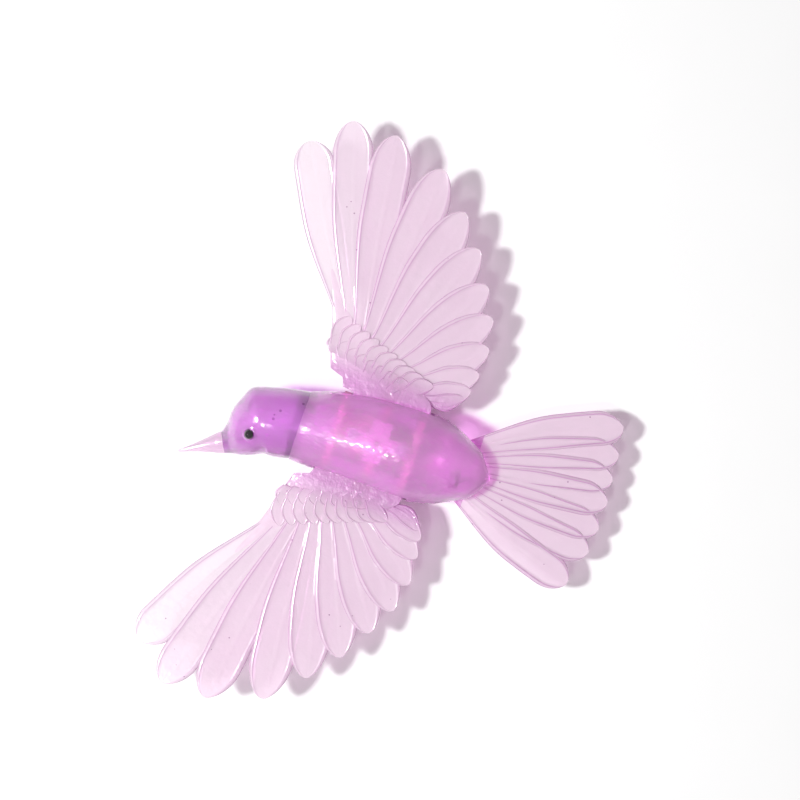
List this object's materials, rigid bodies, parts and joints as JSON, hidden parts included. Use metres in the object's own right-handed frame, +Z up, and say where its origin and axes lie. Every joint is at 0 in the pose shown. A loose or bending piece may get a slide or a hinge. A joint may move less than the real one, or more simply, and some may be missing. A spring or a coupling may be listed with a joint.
{
  "type": "flapping songbird decoy",
  "caption": "Small songbird decoy in see-through lilac resin, with fanned tail, hinged feathered wings that rise together and a belly socket for a stake.",
  "frame": {"origin": "centre of the stake socket's mouth, in the plane of the foot that the decoy stands on", "axes": "+X is the bird's left, +Y runs to the tail and +Z is up through the back"},
  "size_m": [0.238, 0.1771, 0.036],
  "materials": {
    "shell": "clear gloss, see-through purple resin",
    "head_resin": "clear gloss, see-through violet resin",
    "beak_resin": "clear gloss, pale pink resin",
    "feather_resin": "clear gloss, thin pale lilac resin",
    "rose_resin": "satin rose resin",
    "slider": "satin pale moulding",
    "eye": "high gloss black bead",
    "steel": "bright stainless steel",
    "brass": "plain turned brass"
  },
  "bodies": {
    "body": {"back_shell": "shell", "belly_shell": "shell", "head": "head_resin", "beak": "beak_resin", "left_eye": "eye", "right_eye": "eye", "tail_fan": "feather_resin", "tail_screw": "steel", "left_hinge_pin": "steel", "right_hinge_pin": "steel", "hinge_block": "rose_resin", "block_screws": "steel", "guide_posts": "steel", "post_clips": "steel", "return_spring": "steel", "stake_socket": "rose_resin", "cord_eyelet": "brass", "shell_screws": "steel", "hinge_clips": "steel"},
    "right_wing": {"right_wing": "feather_resin", "right_wing_arm": "rose_resin", "right_arm_screws": "steel", "right_crank_pin": "steel"},
    "left_wing": {"left_wing": "feather_resin", "left_wing_arm": "rose_resin", "left_arm_screws": "steel", "left_crank_pin": "steel"},
    "crosshead": {"crosshead": "slider"}
  },
  "joints": [
    {"name": "right_flap", "type": "hinge", "parent": "body", "child": "right_wing", "pos_m": [-0.0125, 0, 0.019], "axis": [0, 1, 0], "range_deg": [0, 35]},
    {"name": "left_flap", "type": "hinge", "parent": "body", "child": "left_wing", "pos_m": [0.0125, 0, 0.019], "axis": [0, -1, 0], "range_deg": [0, 35]},
    {"name": "crosshead_slide", "type": "slide", "parent": "body", "child": "crosshead", "axis": [0, 0, -1], "range_m": [0, 0.00423], "stiffness_N_per_m": 120, "springref_m": -0.004, "deforming": ["return_spring"]}
  ],
  "couplings": [
    {"joint": "left_flap", "follows": "right_flap", "ratio": 1},
    {"joint": "crosshead_slide", "follows": "right_flap", "m_per_rad": 0.006892}
  ]
}
